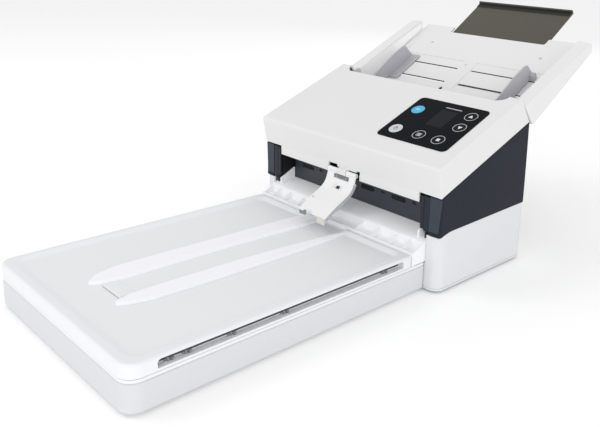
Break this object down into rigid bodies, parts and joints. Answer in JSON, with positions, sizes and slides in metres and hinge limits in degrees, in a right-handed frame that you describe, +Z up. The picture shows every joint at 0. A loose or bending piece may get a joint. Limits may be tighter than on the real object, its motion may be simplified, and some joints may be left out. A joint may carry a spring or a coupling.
{
  "type": "sheet fed document scanner",
  "caption": "Desktop document scanner: a sloping sheet feeder with an input tray on top and an A4 flatbed with a lid in front of it.",
  "frame": {"origin": "middle of the overall box at desk level: X and Y centred on the whole object, Z = 0 on the soles of the feet", "axes": "+X to the right seen from the front, +Y from the flatbed at the front to the input tray at the back, +Z up"},
  "size_m": [0.32, 0.7396, 0.3045],
  "materials": {
    "cover_white": "fine grained satin",
    "base_white": "fine grained satin",
    "slate": "fine grained matte",
    "inner_dark": "satin",
    "panel_black": "high gloss",
    "display": "glossy",
    "button_dark": "satin",
    "button_cyan": "glossy",
    "button_silver": "satin",
    "guide_grey": "translucent satin",
    "smoked": "smoked clear plastic",
    "platen": "clear",
    "steel": "machined",
    "motor_steel": "satin",
    "rubber": "matte",
    "board_green": "solder mask",
    "gear_white": "moulded",
    "brass": "machined",
    "backing_white": "foam pad"
  },
  "bodies": {
    "chassis": {"base_housing": "base_white", "bottom_plate": "slate", "exit_ramp": "base_white", "side_cover_left": "slate", "side_cover_right": "slate", "side_frame_left": "inner_dark", "side_frame_right": "inner_dark", "rear_cover": "slate", "lower_guide": "inner_dark", "exit_wall": "inner_dark", "lower_scan_bar": "inner_dark", "feed_motor": "motor_steel", "main_board": "board_green", "feet": "rubber", "chassis_screws": "steel", "tray_brackets": "base_white", "flatbed_case": "base_white", "flatbed_frame": "base_white", "platen_glass": "platen", "guide_rod": "steel", "scan_belt": "rubber", "scan_motor": "motor_steel"},
    "power_rocker": {"power_switch": "inner_dark"},
    "carriage": {"scan_carriage": "inner_dark", "scan_sensor": "inner_dark"},
    "belt_drive_pulley": {"motor_pulley": "gear_white"},
    "belt_idler": {"idler_pulley": "gear_white"},
    "lid": {"lid_shell": "base_white", "lid_backing": "backing_white", "lid_pins": "steel"},
    "stop": {"paper_stop": "base_white"},
    "door": {"front_cover": "cover_white", "control_panel": "panel_black", "display_window": "display", "control_board": "board_green", "door_frame": "inner_dark", "upper_scan_bar": "inner_dark"},
    "separation_roller_body": {"separation_roller": "rubber"},
    "exit_pinch_body": {"exit_pinch_roller": "rubber"},
    "feed_pinch_body": {"feed_pinch_roller": "rubber"},
    "latch": {"cover_latch": "slate"},
    "flap": {"exit_flap": "cover_white", "flap_pin": "steel"},
    "tray": {"input_tray": "cover_white"},
    "extension": {"tray_extension": "smoked"},
    "left_guide": {"guide_left": "guide_grey"},
    "right_guide": {"guide_right": "guide_grey"},
    "pinion": {"guide_pinion": "gear_white"},
    "pick": {"pick_roller": "rubber"},
    "feed": {"feed_roller": "rubber"},
    "exit": {"exit_roller": "rubber"},
    "idler_front": {"idler_gear_front": "gear_white"},
    "idler_rear": {"idler_gear_rear": "gear_white"},
    "motor_gear": {"motor_pinion": "brass"},
    "button_scan_body": {"button_scan": "button_cyan"},
    "button_power_body": {"button_power": "button_silver"},
    "button_menu_body": {"button_menu": "button_dark"},
    "button_stop_body": {"button_stop": "button_dark"},
    "button_up_arrow_body": {"button_up_arrow": "button_dark"},
    "button_down_arrow_body": {"button_down_arrow": "button_dark"}
  },
  "joints": [
    {"name": "feed_spin", "type": "hinge", "parent": "chassis", "child": "feed", "pos_m": [0, 0.07718, 0.12247], "axis": [1, 0, 0], "continuous": true},
    {"name": "pick_spin", "type": "hinge", "parent": "chassis", "child": "pick", "pos_m": [0, 0.12048, 0.14747], "axis": [1, 0, 0], "continuous": true},
    {"name": "exit_spin", "type": "hinge", "parent": "chassis", "child": "exit", "pos_m": [0, 0.03388, 0.09747], "axis": [1, 0, 0], "continuous": true},
    {"name": "idler_front_spin", "type": "hinge", "parent": "chassis", "child": "idler_front", "pos_m": [0, 0.05553, 0.10997], "axis": [1, 0, 0], "continuous": true},
    {"name": "idler_rear_spin", "type": "hinge", "parent": "chassis", "child": "idler_rear", "pos_m": [0, 0.09883, 0.13497], "axis": [1, 0, 0], "continuous": true},
    {"name": "motor_spin", "type": "hinge", "parent": "chassis", "child": "motor_gear", "pos_m": [0, 0.08718, 0.10515], "axis": [1, 0, 0], "continuous": true},
    {"name": "carriage_slide", "type": "slide", "parent": "chassis", "child": "carriage", "axis": [0, -1, 0], "range_m": [0, 0.284]},
    {"name": "belt_drive_spin", "type": "hinge", "parent": "chassis", "child": "belt_drive_pulley", "pos_m": [0.02, -0.01778, 0.01], "axis": [0, 0, 1], "range_deg": [-3255.4, 3255.4]},
    {"name": "belt_idler_spin", "type": "hinge", "parent": "chassis", "child": "belt_idler", "pos_m": [0.02, -0.35578, 0.01], "axis": [0, 0, 1], "range_deg": [-3255.4, 3255.4]},
    {"name": "lid_hinge", "type": "hinge", "parent": "chassis", "child": "lid", "pos_m": [-0.1363, -0.20878, 0.038], "axis": [0, 1, 0], "range_deg": [-80, 0]},
    {"name": "stop_hinge", "type": "hinge", "parent": "lid", "child": "stop", "pos_m": [0, -0.31178, 0.04605], "axis": [1, 0, 0], "range_deg": [0, 80]},
    {"name": "door_hinge", "type": "hinge", "parent": "chassis", "child": "door", "pos_m": [0, 0.00822, 0.078], "axis": [1, 0, 0], "range_deg": [0, 60]},
    {"name": "button_scan_press", "type": "slide", "parent": "door", "child": "button_scan_body", "axis": [0, 0.3795, -0.9252], "range_m": [0, 0.0005]},
    {"name": "button_power_press", "type": "slide", "parent": "door", "child": "button_power_body", "axis": [0, 0.3795, -0.9252], "range_m": [0, 0.0005]},
    {"name": "button_menu_press", "type": "slide", "parent": "door", "child": "button_menu_body", "axis": [0, 0.3795, -0.9252], "range_m": [0, 0.0005]},
    {"name": "button_stop_press", "type": "slide", "parent": "door", "child": "button_stop_body", "axis": [0, 0.3795, -0.9252], "range_m": [0, 0.0005]},
    {"name": "button_up_arrow_press", "type": "slide", "parent": "door", "child": "button_up_arrow_body", "axis": [0, 0.3795, -0.9252], "range_m": [0, 0.0005]},
    {"name": "button_down_arrow_press", "type": "slide", "parent": "door", "child": "button_down_arrow_body", "axis": [0, 0.3795, -0.9252], "range_m": [0, 0.0005]},
    {"name": "separation_spin", "type": "hinge", "parent": "door", "child": "separation_roller_body", "pos_m": [0, 0.11233, 0.16159], "axis": [1, 0, 0], "continuous": true},
    {"name": "exit_pinch_spin", "type": "hinge", "parent": "door", "child": "exit_pinch_body", "pos_m": [0, 0.02723, 0.10899], "axis": [1, 0, 0], "continuous": true},
    {"name": "feed_pinch_spin", "type": "hinge", "parent": "door", "child": "feed_pinch_body", "pos_m": [0, 0.07053, 0.13399], "axis": [1, 0, 0], "continuous": true},
    {"name": "latch_slide", "type": "slide", "parent": "door", "child": "latch", "axis": [0, -1, 0], "range_m": [0, 0.005]},
    {"name": "flap_follow", "type": "hinge", "parent": "door", "child": "flap", "pos_m": [0, -0.00578, 0.1095], "axis": [1, 0, 0], "range_deg": [-90, 0]},
    {"name": "tray_fold", "type": "hinge", "parent": "chassis", "child": "tray", "pos_m": [0, 0.14882, 0.2015], "axis": [-1, 0, 0], "range_deg": [-60, 0]},
    {"name": "extension_slide", "type": "slide", "parent": "tray", "child": "extension", "axis": [0, 0.8387, 0.5446], "range_m": [-0.068, 0]},
    {"name": "left_guide_slide", "type": "slide", "parent": "tray", "child": "left_guide", "axis": [1, 0, 0], "range_m": [0, 0.075]},
    {"name": "right_guide_slide", "type": "slide", "parent": "tray", "child": "right_guide", "axis": [1, 0, 0], "range_m": [-0.075, 0]},
    {"name": "pinion_spin", "type": "hinge", "parent": "tray", "child": "pinion", "pos_m": [0, 0.21525, 0.20334], "axis": [0, -0.5, 0.866], "range_deg": [-538.15, 538.15]},
    {"name": "power_rock", "type": "hinge", "parent": "chassis", "child": "power_rocker", "pos_m": [0.107, 0.15922, 0.03], "axis": [1, 0, 0], "range_deg": [-8, 8]}
  ],
  "couplings": [
    {"joint": "pick_spin", "follows": "feed_spin", "ratio": 1},
    {"joint": "exit_spin", "follows": "feed_spin", "ratio": 1},
    {"joint": "idler_front_spin", "follows": "feed_spin", "ratio": -0.92308},
    {"joint": "idler_rear_spin", "follows": "feed_spin", "ratio": -0.92308},
    {"joint": "motor_spin", "follows": "feed_spin", "ratio": -1.5},
    {"joint": "belt_drive_spin", "follows": "carriage_slide", "rad_per_m": -200},
    {"joint": "belt_idler_spin", "follows": "carriage_slide", "rad_per_m": -200},
    {"joint": "flap_follow", "follows": "door_hinge", "ratio": -1.5},
    {"joint": "right_guide_slide", "follows": "left_guide_slide", "ratio": -1},
    {"joint": "pinion_spin", "follows": "left_guide_slide", "rad_per_m": -125}
  ]
}
